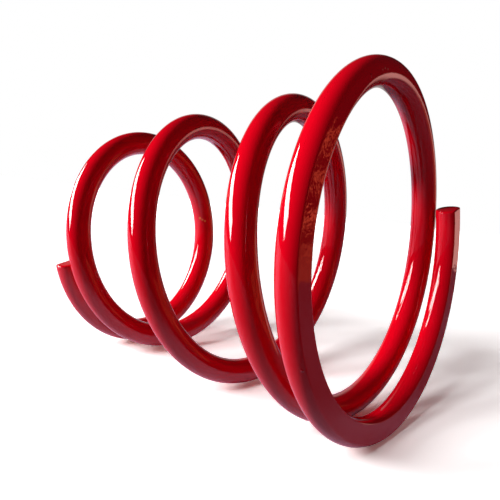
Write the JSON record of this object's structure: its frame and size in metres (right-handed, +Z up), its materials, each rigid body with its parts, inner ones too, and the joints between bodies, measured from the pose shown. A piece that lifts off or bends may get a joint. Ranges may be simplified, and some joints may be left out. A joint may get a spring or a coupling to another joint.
{
  "type": "conical compression spring",
  "caption": "Conical compression spring coiled from round wire, with closed and ground ends, painted gloss red.",
  "frame": {"origin": "on the spring's axis, in the plane of the large ground end that it stands on", "axes": "+Z up the axis from the large end to the small end; the cut tip of the large end is on +X, and the wire climbs anticlockwise seen from above, which is a right-hand coil"},
  "size_m": [0.1044, 0.1044, 0.104],
  "materials": {
    "red_paint": "gloss"
  },
  "bodies": {
    "root": {"spring_coil": "red_paint"}
  },
  "joints": []
}
